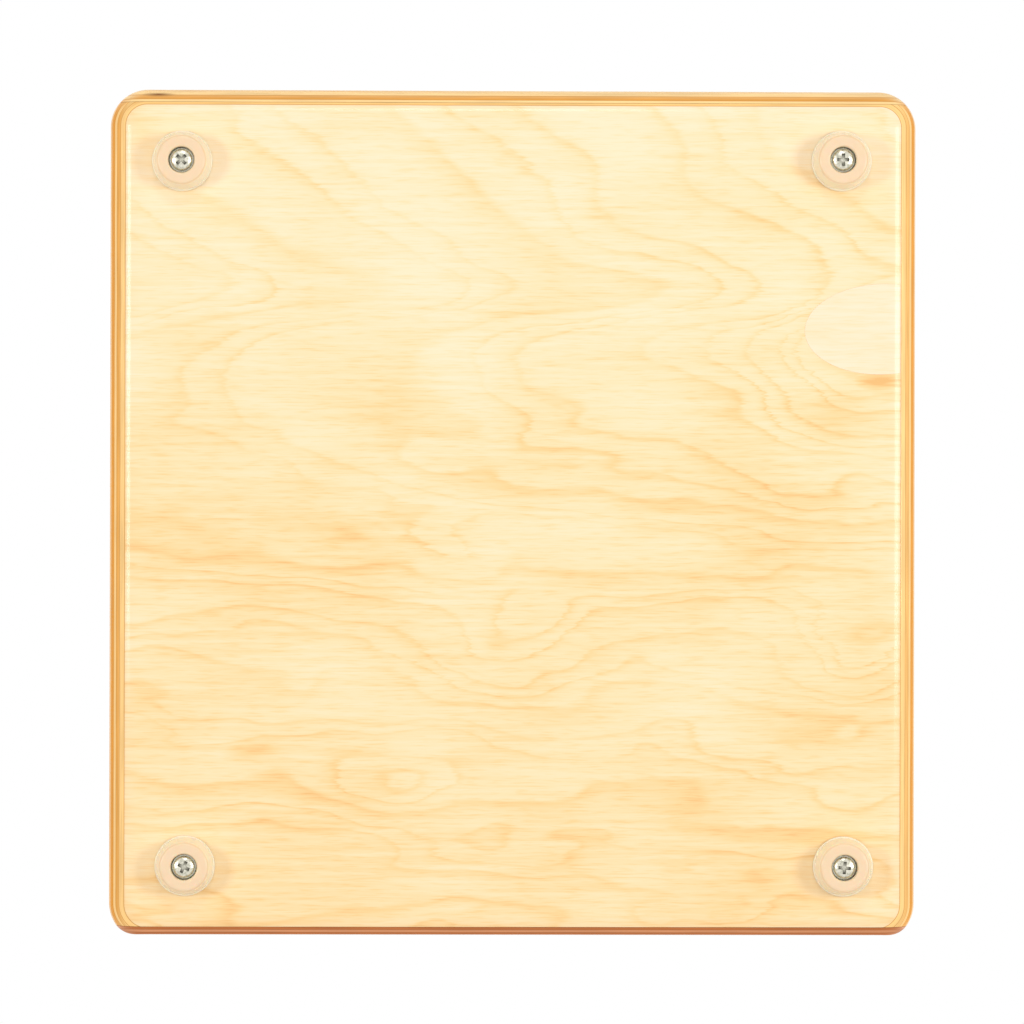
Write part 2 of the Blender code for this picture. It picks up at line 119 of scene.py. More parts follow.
# %% Selecting, rounding and cutting
def only(piece):
    """Make this piece the one selected, active object."""
    bpy.ops.object.select_all(action="DESELECT")
    piece.select_set(True)
    bpy.context.view_layer.objects.active = piece


def select_none(piece):
    """Make this piece active and clear what is selected in its mesh."""
    only(piece)
    for group in (piece.data.vertices, piece.data.edges, piece.data.polygons):
        group.foreach_set("select", [False] * len(group))


def leave_edit():
    """Back to object mode."""
    bpy.ops.object.mode_set(mode="OBJECT")


def round_edges(piece, radius, wanted, steps=18):
    """Bevel those edges of a piece whose two ends are wanted."""
    select_none(piece)
    mesh = piece.data
    for edge in mesh.edges:
        first, second = (mesh.vertices[i].co for i in edge.vertices)
        edge.select = wanted(first, second)
    bpy.context.tool_settings.mesh_select_mode = (False, True, False)
    bpy.ops.object.mode_set(mode="EDIT")
    bpy.ops.mesh.bevel(offset=radius, segments=steps, affect="EDGES")
    leave_edit()


def apply_place(piece):
    """Move a piece's place, turn and scale into its mesh."""
    only(piece)
    bpy.ops.object.transform_apply(location=True, rotation=True, scale=True)


def take(name):
    """Name the primitive that was just added, and move its place into its mesh."""
    piece = bpy.context.object
    piece.name = name
    apply_place(piece)
    return piece


def apply_modifiers(piece):
    """Turn a piece's modifiers into mesh, in their order."""
    only(piece)
    for modifier in list(piece.modifiers):
        bpy.ops.object.modifier_apply(modifier=modifier.name)


def boolean(piece, operation, other, keep=False):
    """Trim or cut a piece with another object, which then goes unless it is kept."""
    step = piece.modifiers.new(other.name, "BOOLEAN")
    step.operation = operation
    step.object = other
    apply_modifiers(piece)
    if not keep:
        bpy.data.objects.remove(other)


# %% [markdown]
# ## The boards
#
# The box was glued up first and its edges were then run round with a router. So all six boards share
# one rounded outer form, and boards bevelled one by one would never meet at the joints. Along the sides
# and the back the round-over is broad. At the front the cutter ran out past the playing plate, which
# was only trimmed and eased. Two blocks give that: a broadly rounded one that reaches past the front,
# and a lightly rounded one that ends there. What lies inside both is the form.

# %% The rounded outer form
BACK_CORNER = 14 * MM
FRONT_CORNER = 9.7 * MM
RUN_OUT = 3.5 * MM
RUN_OUT_CORNER = 15 * MM
EDGE_RADIUS = 11 * MM
FRONT_EDGE_RADIUS = 4 * MM
MARGIN = 5 * MM
TOUCH = 0.05 * MM

form_low = Vector((cad_low.x, cad_low.y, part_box("bottom_panel")[0].z))
form_high = cad_high.copy()


def rounded_block(name, low, high, front_corner, edge):
    """A block with its upright corners rounded first and the edges of its two ends after that."""
    bpy.ops.mesh.primitive_cube_add(size=1.0, location=(low + high) / 2, scale=high - low)
    block = take(name)
    for side, radius in ((1.0, BACK_CORNER), (-1.0, front_corner)):
        round_edges(block, radius, lambda a, b: abs(a.z - b.z) > TOUCH and side * a.y > 0.0)
    round_edges(block, edge, lambda a, b: abs(a.z - b.z) < TOUCH)
    return block


past_front = Vector((0.0, RUN_OUT, 0.0))
past_back = Vector((0.0, MARGIN, 0.0))
form = rounded_block("routed", form_low - past_front, form_high, RUN_OUT_CORNER, EDGE_RADIUS)
trimmed = rounded_block("trimmed", form_low, form_high + past_back, FRONT_CORNER, FRONT_EDGE_RADIUS)
boolean(form, "INTERSECT", trimmed)
print("outer form:", len(form.data.polygons), "faces")

# %% Six boards out of one form
GLUED = 0.2 * MM


def board(name, node, grow=(0.0, 0.0, 0.0)):
    """A slab as large as the solid, run past the outer form where it reaches it, then trimmed to it."""
    low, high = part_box(node)
    for side in range(3):
        low[side] -= MARGIN if low[side] - form_low[side] < TOUCH else grow[side]
        high[side] += MARGIN if form_high[side] - high[side] < TOUCH else grow[side]
    bpy.ops.mesh.primitive_cube_add(size=1.0, location=(low + high) / 2, scale=high - low)
    piece = take(name)
    boolean(piece, "INTERSECT", form, keep=True)
    return piece


bottom_board = board("bottom_board", "bottom_panel", (0.0, GLUED, 0.0))
seat_board = board("seat_board", "top_panel", (0.0, GLUED, 0.0))
left_wall = board("left_wall", "left_side", (0.0, GLUED, GLUED))
right_wall = board("right_wall", "right_side", (0.0, GLUED, GLUED))
back_board = board("back_board", "back_panel", (MARGIN, 0.0, MARGIN))
playing_plate = board("playing_plate", "tapa", (MARGIN, 0.0, MARGIN))
for piece in (bottom_board, seat_board, left_wall, right_wall, back_board, playing_plate):
    print(piece.name, in_mm(piece.dimensions), "mm")

# %% [markdown]
# ## The veneer oval
#
# A knot was punched out of the bottom's face veneer and an oval of sound wood was let in. The round-over
# cut one end of it off. The oval and the pocket for it are the same cylinder, squeezed to an oval, and
# the pocket is a hair larger: the glue line.

# %% Oval and pocket
OVAL_LENGTH = 58.0 * MM
OVAL_WIDTH = 33.6 * MM
OVAL_TURN = math.radians(-2.3)
OVAL_FROM_LEFT = 12.9 * MM
OVAL_FROM_BACK = 88.7 * MM
VENEER = 1.1 * MM
OVAL_GLUE = 0.03 * MM

oval_middle = Vector((form_low.x + OVAL_FROM_LEFT, form_high.y - OVAL_FROM_BACK, form_low.z))


def oval(name, grow):
    """A squeezed cylinder that reaches one veneer deep into the face."""
    bpy.ops.mesh.primitive_cylinder_add(
        vertices=128,
        radius=0.5,
        depth=2 * (VENEER + grow),
        location=oval_middle,
        rotation=(0.0, 0.0, OVAL_TURN),
        scale=(OVAL_LENGTH + 2 * grow, OVAL_WIDTH + 2 * grow, 1.0),
    )
    return take(name)


veneer_oval = oval("veneer_oval", 0.0)
boolean(veneer_oval, "INTERSECT", form, keep=True)
boolean(bottom_board, "DIFFERENCE", oval("pocket", OVAL_GLUE))
bpy.data.objects.remove(form)
print("veneer oval:", in_mm(veneer_oval.dimensions), "mm")

# %% [markdown]
# ## The sound hole
#
# Air leaves the box through a round hole in the back. Its rim is sanded round, inside and out, because
# a hand reaches through it to the snare. The hole is one cut, and then its two rim loops are bevelled.

# %% Sound hole with a sanded rim
HOLE_RADIUS = 57.5 * MM
HOLE_BELOW_SEAT = 155 * MM
RIM_ROUND = 1.4 * MM
QUARTER_TURN = math.radians(90.0)
DRILL_LENGTH = 40 * MM


def drill(piece, radius, spot=(0.0, 0.0, 0.0), turn=0.0, steps=48):
    """Cut a round hole along Z, or along Y if it is turned by a right angle."""
    bpy.ops.mesh.primitive_cylinder_add(
        vertices=steps, radius=radius, depth=DRILL_LENGTH, location=spot, rotation=(turn, 0.0, 0.0)
    )
    boolean(piece, "DIFFERENCE", take("drill"))


hole_middle = Vector((0.0, form_high.y, form_high.z - HOLE_BELOW_SEAT))
drill(back_board, HOLE_RADIUS, hole_middle, QUARTER_TURN, steps=160)


def on_hole_rim(first, second):
    """True for an edge that runs round the hole on one of the board's two faces."""
    reach = [math.hypot(end.x - hole_middle.x, end.z - hole_middle.z) for end in (first, second)]
    return all(abs(r - HOLE_RADIUS) < TOUCH for r in reach) and abs(first.y - second.y) < TOUCH


round_edges(back_board, RIM_ROUND, on_hole_rim, steps=5)
print("back board with its hole:", len(back_board.data.polygons), "faces")

# %% [markdown]
# ## Countersunk screws
#
# Fourteen countersunk screws hold the playing plate flush. A screw is a truncated cone with its narrow
# end drawn out into a shank, and a cross-shaped recess cut into its face. The sink it sits in is that
# same shape, a little larger and drawn out past the plate, so one function makes both. They are made
# facing down and turned to face the player when they are copied to their places.

# %% One screw, one sink
FIT = 0.3 * MM
PLATE_HEAD = 7.0 * MM
PLATE_HEAD_DEPTH = 2.0 * MM
PLATE_SHANK = 3.4 * MM
PLATE_SCREW_LENGTH = 19.3 * MM
PLATE_CROSS = (4.2 * MM, 1.1 * MM, 1.5 * MM)
FLAT = 0.9


def edit_faces(piece, wanted):
    """Enter edit mode with just those faces selected whose normal is wanted."""
    select_none(piece)
    for face in piece.data.polygons:
        face.select = wanted(face.normal)
    bpy.context.tool_settings.mesh_select_mode = (False, False, True)
    bpy.ops.object.mode_set(mode="EDIT")


def upward(normal):
    """True for a face that looks up."""
    return normal.z > FLAT


def downward(normal):
    """True for a face that looks down."""
    return normal.z < -FLAT


def draw_out(distance):
    """Extrude the selected faces along Z."""
    bpy.ops.mesh.extrude_region_move(TRANSFORM_OT_translate={"value": (0.0, 0.0, distance)})


def smooth(piece, angle=30.0):
    """Rounds shade smoothly, and the flats beside them stay flat."""
    only(piece)
    bpy.ops.object.shade_smooth_by_angle(angle=math.radians(angle))
    flats = piece.modifiers.new("Flats stay flat", "WEIGHTED_NORMAL")
    flats.keep_sharp = True
    apply_modifiers(piece)


def countersunk(name, head, head_depth, shank, length, grow=0.0):
    """A flat head on a shank, facing down from the origin."""
    bpy.ops.mesh.primitive_cone_add(
        vertices=48,
        radius1=head / 2 + grow,
        radius2=shank / 2 + grow,
        depth=head_depth,
        location=(0.0, 0.0, head_depth / 2),
    )
    piece = take(name)
    edit_faces(piece, upward)
    draw_out(length - head_depth)
    leave_edit()
    return piece


def cut_cross(piece, height, length, width, depth):
    """Cut two slots across each other into a head that faces down at this height."""
    for size in ((length, width, 2 * depth), (width, length, 2 * depth)):
        bpy.ops.mesh.primitive_cube_add(size=1.0, location=(0.0, 0.0, height), scale=size)
        boolean(piece, "DIFFERENCE", take("slot"))


sink = countersunk("sink", PLATE_HEAD, PLATE_HEAD_DEPTH, PLATE_SHANK, PLATE_SCREW_LENGTH, FIT)
edit_faces(sink, downward)
draw_out(-MARGIN)
leave_edit()
screw = countersunk("screw", PLATE_HEAD, PLATE_HEAD_DEPTH, PLATE_SHANK, PLATE_SCREW_LENGTH)
cut_cross(screw, 0.0, *PLATE_CROSS)
smooth(screw)
print("screw faces:", len(screw.data.polygons))

# %% Fourteen sinks and their screws
FACE_PLAYER = Matrix.Rotation(-QUARTER_TURN, 4, "X")
CROSS_STEP = math.radians(37.0)


def join(pieces):
    """Join several objects into the first one."""
    only(pieces[0])
    for piece in pieces:
        piece.select_set(True)
    bpy.ops.object.join()
    return pieces[0]


def copy_to(piece, name, place):
    """Duplicate a piece, put the copy in its place and move that place into its mesh."""
    only(piece)
    bpy.ops.object.duplicate(linked=False)
    twin = bpy.context.object
    twin.name = name
    twin.matrix_world = place
    apply_place(twin)
    return twin


def hand_over(piece, body, slot, *nodes):
    """The piece stands for these solids and moves with their body. The slot is not used."""
    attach(piece, body)
    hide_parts(*nodes)
    return piece


def middle(node):
    """Centre of a solid's box."""
    low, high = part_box(node)
    return (low + high) / 2


plate_screws = []
sinks = []
screw_nodes = sorted(name for name in frame["nodes"] if name.startswith("tapa_screw_"))
for count, node in enumerate(screw_nodes):
    spot = middle(node)
    place = Matrix.Translation((spot.x, cad_low.y, spot.z)) @ FACE_PLAYER
    sinks.append(copy_to(sink, "sink_copy", place))
    turn = Matrix.Rotation(CROSS_STEP * count, 4, "Z")
    piece = copy_to(screw, node.replace("tapa_screw", "flush_screw"), place @ turn)
    plate_screws.append(hand_over(piece, "box", "zinc_steel", node))
boolean(playing_plate, "DIFFERENCE", join(sinks))
bpy.data.objects.remove(sink)
bpy.data.objects.remove(screw)
print("plate screws:", len(plate_screws), "- plate faces:", len(playing_plate.data.polygons))

# %% [markdown]
# ## Boards, finished
#
# All cuts are done, so the boards get their shading: the round-overs smooth, the faces flat. Each one
# then takes the place of its solid.

# %% Shade the boards and hand them over
for piece, node, slot in (
    (bottom_board, "bottom_panel", "birch"),
    (veneer_oval, "veneer_patch", "birch"),
    (seat_board, "top_panel", "birch"),
    (left_wall, "left_side", "birch"),
    (right_wall, "right_side", "birch"),
    (back_board, "back_panel", "birch"),
    (playing_plate, "tapa", "tapa_wood"),
):
    smooth(piece)
    hand_over(piece, "box", slot, node)
    print(piece.name, "stands for", node, "with", len(piece.data.polygons), "faces")

# %% [markdown]
# ## Rubber feet
#
# Each foot is a moulded bumper: a blunt cone of soft clear rubber on a thin flange, with a recess for
# a washer and a screw head, so that no metal touches the floor. The flange starts it, a flat cylinder.
# Its lower face is inset, drawn down and scaled in for the cone, then inset and pushed up for the
# recess. A lathe profile would do as well, but here each step is one that the mould maker cut. The
# rims are bevelled last.

# %% One foot
FOOT_HEIGHT = 9.7 * MM
FOOT_BASE = 22.4 * MM
FOOT_TIP = 18.4 * MM
FLANGE = 1.3 * MM
FLANGE_STEP = 0.5 * MM
FLANGE_ROUND = 0.45 * MM
TIP_ROUND = 1.3 * MM
RECESS = 9.6 * MM
RECESS_DEPTH = 5.0 * MM
LIP_ROUND = 0.8 * MM
FOOT_HOLE = 4.8 * MM

bpy.ops.mesh.primitive_cylinder_add(
    vertices=96, radius=FOOT_BASE / 2, depth=FLANGE, location=(0.0, 0.0, FOOT_HEIGHT - FLANGE / 2)
)
foot = take("foot")
edit_faces(foot, downward)
bpy.ops.mesh.inset(thickness=FLANGE_STEP)
draw_out(FLANGE - FOOT_HEIGHT)
taper = FOOT_TIP / (FOOT_BASE - 2 * FLANGE_STEP)
bpy.ops.transform.resize(value=(taper, taper, 1.0), center_override=(0.0, 0.0, 0.0))
bpy.ops.mesh.inset(thickness=(FOOT_TIP - RECESS) / 2)
draw_out(RECESS_DEPTH)
leave_edit()


def rim_at(radius, height):
    """A test for edges of the ring of this radius at this height."""

    def wanted(first, second):
        ends = (first, second)
        return all(abs(end.z - height) < TOUCH and abs(end.xy.length - radius) < TOUCH for end in ends)

    return wanted


for radius, height, rounding in (
    (FOOT_TIP / 2, 0.0, TIP_ROUND),
    (RECESS / 2, 0.0, LIP_ROUND),
    (FOOT_BASE / 2, FOOT_HEIGHT - FLANGE, FLANGE_ROUND),
):
    round_edges(foot, rounding, rim_at(radius, height), steps=6)
drill(foot, FOOT_HOLE / 2)
smooth(foot, angle=50.0)
print("foot:", in_mm(foot.dimensions), "mm,", len(foot.data.polygons), "faces")

# %% [markdown]
# ## Washer and pan-head screw
#
# The washer is a thin disc with a hole, its rims broken by a small bevel. A pan head is half
# a squeezed sphere, cut with bisect and drawn up to the head's height. The shank grows out of its
# upper side, inset first to the shank's width. The snare's strips are held by a smaller one of these,
# so the screw is a function.

# %% One washer
WASHER = 9.0 * MM
WASHER_THICK = 0.8 * MM
WASHER_MIDDLE = 4.3 * MM
WASHER_EDGE = 0.15 * MM

bpy.ops.mesh.primitive_cylinder_add(
    vertices=64, radius=WASHER / 2, depth=WASHER_THICK, location=(0.0, 0.0, WASHER_MIDDLE)
)
washer = take("washer")
drill(washer, FOOT_HOLE / 2)


def on_outer_rim(first, second):
    """True for an edge that runs round the washer."""
    far_out = min(first.xy.length, second.xy.length) > WASHER / 2 - TOUCH
    return far_out and abs(first.z - second.z) < TOUCH


round_edges(washer, WASHER_EDGE, on_outer_rim, steps=2)
smooth(washer)
print("washer:", len(washer.data.polygons), "faces")

# %% One pan-head screw
FOOT_SCREW_SEAT = 3.6 * MM
FOOT_SCREW_TIP = 20.0 * MM
FOOT_HEAD = 8.0 * MM
FOOT_HEAD_HEIGHT = 3.0 * MM
FOOT_SHANK = 4.2 * MM
FOOT_CROSS = (4.6 * MM, 1.2 * MM, 1.8 * MM)
DOME_SHARE = 0.45


def pan_head(name, head, height, shank, length):
    """A domed head below the origin and a shank above it."""
    crown = DOME_SHARE * height
    bpy.ops.mesh.primitive_uv_sphere_add(
        segments=64,
        ring_count=32,
        radius=head / 2,
        location=(0.0, 0.0, crown - height),
        scale=(1.0, 1.0, crown / (head / 2)),
    )
    piece = take(name)
    edit_faces(piece, lambda normal: True)
    middle_plane = (0.0, 0.0, crown - height)
    bpy.ops.mesh.bisect(plane_co=middle_plane, plane_no=(0.0, 0.0, 1.0), use_fill=True, clear_outer=True)
    leave_edit()
    edit_faces(piece, upward)
    draw_out(height - crown)
    bpy.ops.mesh.inset(thickness=(head - shank) / 2)
    draw_out(length)
    leave_edit()
    return piece


foot_shank_length = FOOT_SCREW_TIP - FOOT_SCREW_SEAT
foot_screw = pan_head("foot_screw", FOOT_HEAD, FOOT_HEAD_HEIGHT, FOOT_SHANK, foot_shank_length)
cut_cross(foot_screw, -FOOT_HEAD_HEIGHT, *FOOT_CROSS)
smooth(foot_screw, angle=40.0)
print("foot screw:", in_mm(foot_screw.dimensions), "mm")

# %% Four of each
CROSS_TURNS = {"front_left": 5.0, "front_right": 25.0, "back_left": 0.0, "back_right": 45.0}

feet = []
washers = []
foot_screws = []
for corner, turn in CROSS_TURNS.items():
    spot = middle("foot_" + corner)
    place = Matrix.Translation((spot.x, spot.y, 0.0)) @ Matrix.Rotation(math.radians(turn), 4, "Z")
    piece = copy_to(foot, "rubber_bumper_" + corner, place)
    feet.append(hand_over(piece, "box", "clear_rubber", "foot_" + corner))
    piece = copy_to(washer, "washer_" + corner, place)
    washers.append(hand_over(piece, "box", "zinc_steel", "foot_washer_" + corner))
    seat = place @ Matrix.Translation((0.0, 0.0, FOOT_SCREW_SEAT))
    piece = copy_to(foot_screw, "pan_screw_" + corner, seat)
    foot_screws.append(hand_over(piece, "box", "zinc_steel", "foot_screw_" + corner))
for piece in (foot, washer, foot_screw):
    bpy.data.objects.remove(piece)
print("feet, washers and screws:", len(feet), len(washers), len(foot_screws))

# %% [markdown]
# ## Snare wires
#
# Inside, two sets of coiled wires lean on the playing plate and buzz when it is struck. Each set is ten
# close coils soldered to a steel strip. A coil is a small circle swept by a Screw modifier. The bar they
# hang on leans forward, so the sets are built upright about the bar's axis and tilted into place.

# %% One coil and one strip
WIRE = 0.45 * MM
COIL = 1.8 * MM
COIL_PITCH = 1.45 * MM
COIL_LENGTH = 116 * MM
STRIP = Vector((44 * MM, 1.0 * MM, 16 * MM))
STRIP_FRONT = -9.3 * MM
STRIP_CORNER = 2.0 * MM
STRIP_HOLE = 1.7 * MM
HOLE_APART = 24 * MM
HOLE_DOWN = 4 * MM

bpy.ops.mesh.primitive_circle_add(
    vertices=6, radius=WIRE / 2, location=((COIL - WIRE) / 2, 0.0, WIRE), rotation=(QUARTER_TURN, 0.0, 0.0)
)
coil = take("coil")
winding = coil.modifiers.new("Winding", "SCREW")
winding.axis = "Z"
winding.screw_offset = COIL_PITCH
winding.iterations = int((COIL_LENGTH - 2 * WIRE) / COIL_PITCH)
winding.steps = 12
winding.render_steps = 12
apply_modifiers(coil)
only(coil)
bpy.ops.object.mode_set(mode="EDIT")
bpy.ops.mesh.select_all(action="SELECT")
bpy.ops.mesh.fill_holes(sides=0)
bpy.ops.mesh.select_all(action="SELECT")
bpy.ops.mesh.normals_make_consistent(inside=False)
leave_edit()
bpy.ops.object.shade_smooth()

bpy.ops.mesh.primitive_cube_add(size=1.0, location=(0.0, STRIP_FRONT + STRIP.y / 2, 0.0), scale=STRIP)
strip = take("strip")
round_edges(strip, STRIP_CORNER, lambda a, b: abs(a.y - b.y) > TOUCH, steps=6)
for side in (-1, 1):
    drill(strip, STRIP_HOLE, (side * HOLE_APART / 2, STRIP_FRONT, -HOLE_DOWN), QUARTER_TURN, steps=32)
smooth(strip)
print("coil:", len(coil.data.polygons), "faces; strip:", len(strip.data.polygons), "faces")

# %% Two sets, tilted against the plate
STRANDS = 10
STRAND_PITCH = 4.0 * MM
STRAND_Y = -9.8 * MM
SET_MIDDLE = 58.0 * MM
PLATE_CLEARANCE = 0.3 * MM

pivot = Vector(frame["joints"][0]["pos_m"])
forward = COIL / 2 - STRAND_Y
to_plate = pivot.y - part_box("tapa")[1].y - PLATE_CLEARANCE
reach = math.hypot(forward, COIL_LENGTH)
tilt = math.asin(to_plate / reach) - math.atan2(forward, COIL_LENGTH)
upright = Matrix.Translation(pivot) @ Matrix.Rotation(tilt, 4, "X")
snare_sets = []
for side, shift in (("left", -SET_MIDDLE), ("right", SET_MIDDLE)):
    parts = [copy_to(strip, "snare_coils_" + side, upright @ Matrix.Translation((shift, 0.0, 0.0)))]
    for strand in range(STRANDS):
        across = shift + (strand - (STRANDS - 1) / 2) * STRAND_PITCH
        parts.append(copy_to(coil, "strand", upright @ Matrix.Translation((across, STRAND_Y, 0.0))))
    snare_sets.append(hand_over(join(parts), "snare", "zinc_steel", "snare_strands_" + side))
bpy.data.objects.remove(coil)
bpy.data.objects.remove(strip)
print("snare tilt:", round(math.degrees(tilt), 2), "degrees")
print("snare faces:", [len(piece.data.polygons) for piece in snare_sets])

# %% [markdown]
# ## Strip screws
#
# Two small pan heads hold each strip to the bar. They face the playing plate and tilt with the snare.

# %% Four strip screws
STRIP_SCREW_SEAT = -9.6 * MM
STRIP_HEAD = 5.4 * MM
STRIP_HEAD_HEIGHT = 2.0 * MM
STRIP_SHANK = 2.8 * MM
STRIP_SHANK_LENGTH = 15.6 * MM
STRIP_CROSS = (3.0 * MM, 0.8 * MM, 1.2 * MM)

strip_screw = pan_head("strip_screw", STRIP_HEAD, STRIP_HEAD_HEIGHT, STRIP_SHANK, STRIP_SHANK_LENGTH)
cut_cross(strip_screw, -STRIP_HEAD_HEIGHT, *STRIP_CROSS)
smooth(strip_screw, angle=40.0)
strip_screws = []
for side, outward in (("left", -1), ("right", 1)):
    for end, step in (("inner", -outward), ("outer", outward)):
        across = outward * SET_MIDDLE + step * HOLE_APART / 2
        spot = Matrix.Translation((across, STRIP_SCREW_SEAT, -HOLE_DOWN))
        piece = copy_to(strip_screw, f"strip_screw_{side}_{end}", upright @ spot @ FACE_PLAYER)
        strip_screws.append(hand_over(piece, "snare", "zinc_steel", f"plate_screw_{side}_{end}"))
bpy.data.objects.remove(strip_screw)
print("strip screws:", len(strip_screws))

# %% [markdown]
# ## Colours and nodes
#
# Colours are written as a picture shows them, in sRGB hex, and turned into linear light once. One small
# function adds a node with its settings and links. Each material gets it as add, with its own node tree
# filled in, and then reads as a list of steps.


# %% Colour and node helpers
def colour(code):
    """An sRGB hex colour as the linear values that shaders work in."""
    shares = [int(code[i : i + 2], 16) / 255 for i in (0, 2, 4)]
    linear = [s / 12.92 if s <= 0.04045 else ((s + 0.055) / 1.055) ** 2.4 for s in shares]
    return (*linear, 1.0)


def add_node(tree, kind, inputs=(), stops=(), points=(), **settings):
    """Add a node with settings, stops or points. Inputs are values or links, by name or in their order."""
    node = tree.nodes.new("ShaderNode" + kind)
    for setting, value in settings.items():
        setattr(node, setting, value)
    for count, (spot, code) in enumerate(stops):
        ramp = node.color_ramp.elements
        if count == 0:
            ramp.remove(ramp[1])
        stop = ramp.new(spot) if count else ramp[0]
        stop.position = spot
        stop.color = colour(code)
    for count, point in enumerate(points):
        curve = node.mapping.curves[0].points
        knot = curve[count] if count < 2 else curve.new(*point)
        knot.location = point
    if points:
        node.mapping.update()
    if not isinstance(inputs, dict):
        inputs = dict(enumerate(inputs))
    for name, value in inputs.items():
        by_name = [socket for socket in node.inputs if socket.enabled and socket.name == name]
        socket = by_name[0] if by_name else node.inputs[name]
        if isinstance(value, bpy.types.Node):
            value = next(output for output in value.outputs if output.enabled)
        if isinstance(value, bpy.types.NodeSocket):
            tree.links.new(value, socket)
        else:
            socket.default_value = value
    return node


def start_material(name, numbers):
    """A material, its own add-node function, a shader with what is the same all over, and a position."""
    material = bpy.data.materials.new(name)
    material.use_nodes = True
    material.node_tree.nodes.clear()
    add = partial(add_node, material.node_tree)
    shader = add("BsdfPrincipled", numbers)
    add("OutputMaterial", {"Surface": shader})
    return material, add, shader, add("TexCoord").outputs["Object"]


def feed(shader, links):
    """Link each node to the shader's socket of that name."""
    for name, node in links.items():
        output = next(output for output in node.outputs if output.enabled)
        shader.id_data.links.new(output, shader.inputs[name])


def stretched_noise(add, position, size, **inputs):
    """A noise whose blots have this size along each axis."""
    fine = add("VectorMath", (position, size), operation="DIVIDE")
    return add("TexNoise", {"Vector": fine, "Scale": 1.0, **inputs})


def soft_spot(add, position, centre, half):
    """A spot that fades from 1 in its centre to 0 at its half width along each axis."""
    local = add("Mapping", {"Vector": position, "Location": centre, "Scale": half}, vector_type="TEXTURE")
    return add("TexGradient", {"Vector": local}, gradient_type="SPHERICAL")


def wear(material, *pieces):
    """Give pieces this material and no other."""
    for piece in pieces:
        piece.data.materials.clear()
        piece.data.materials.append(material)


# %% [markdown]
# ## The figure of peeled veneer
#
# A peeled sheet shows its growth rings as contours on a map. So the figure is built as one: heights in
# rings, from a slow slope along the grain, a profile across it, and a few hills where the rings close
# into eyes. Every whole ring draws one line, soft on one side and sharp on the other. Noises then make
# wood of it: two sway the contours, one combs them along the fibres, one lets them fade and return.
#
# Real fibres are a tenth of a millimetre wide. The picture has under three pixels to the millimetre,
# so the fibres here are drawn six times as coarse, or they would average out to nothing.

# %% Sizes of the figure in mm: along the grain, across it, through the sheet
SWAYS = (((95, 50, 400), (26, 13, 0)), ((24, 11, 90), (7, 3.2, 0)), ((13, 0.9, 9), (7, 0, 0)))
SWELL = (75, 27, 400)
FADING = (75, 38, 200)
CLOUDS = (60, 45, 200)
FIBRES = (9, 0.6, 9)
STREAKS = (42, 1.7, 60)
SLOPE_TURNS = (-70.0, 15.0)
UNEVEN_PITCH = 2.3
UNEVEN_SHARE = 0.28
THROUGH = 1000.0
SOFTLY = {"interpolation_type": "SMOOTHSTEP"}
FADES = (0.32, 0.62, 0.1, 0.36)
DASHES = (0.5, 0.72)
SHARES = {"clouds": 0.6, "dashes": 0.24, "streaks": 0.55}
RING_LINE = (
    (0.0, "606060"), (0.1, "101010"), (0.4, "202020"), (0.72, "9C9C9C"), (0.9, "FFFFFF"), (1.0, "606060")
)


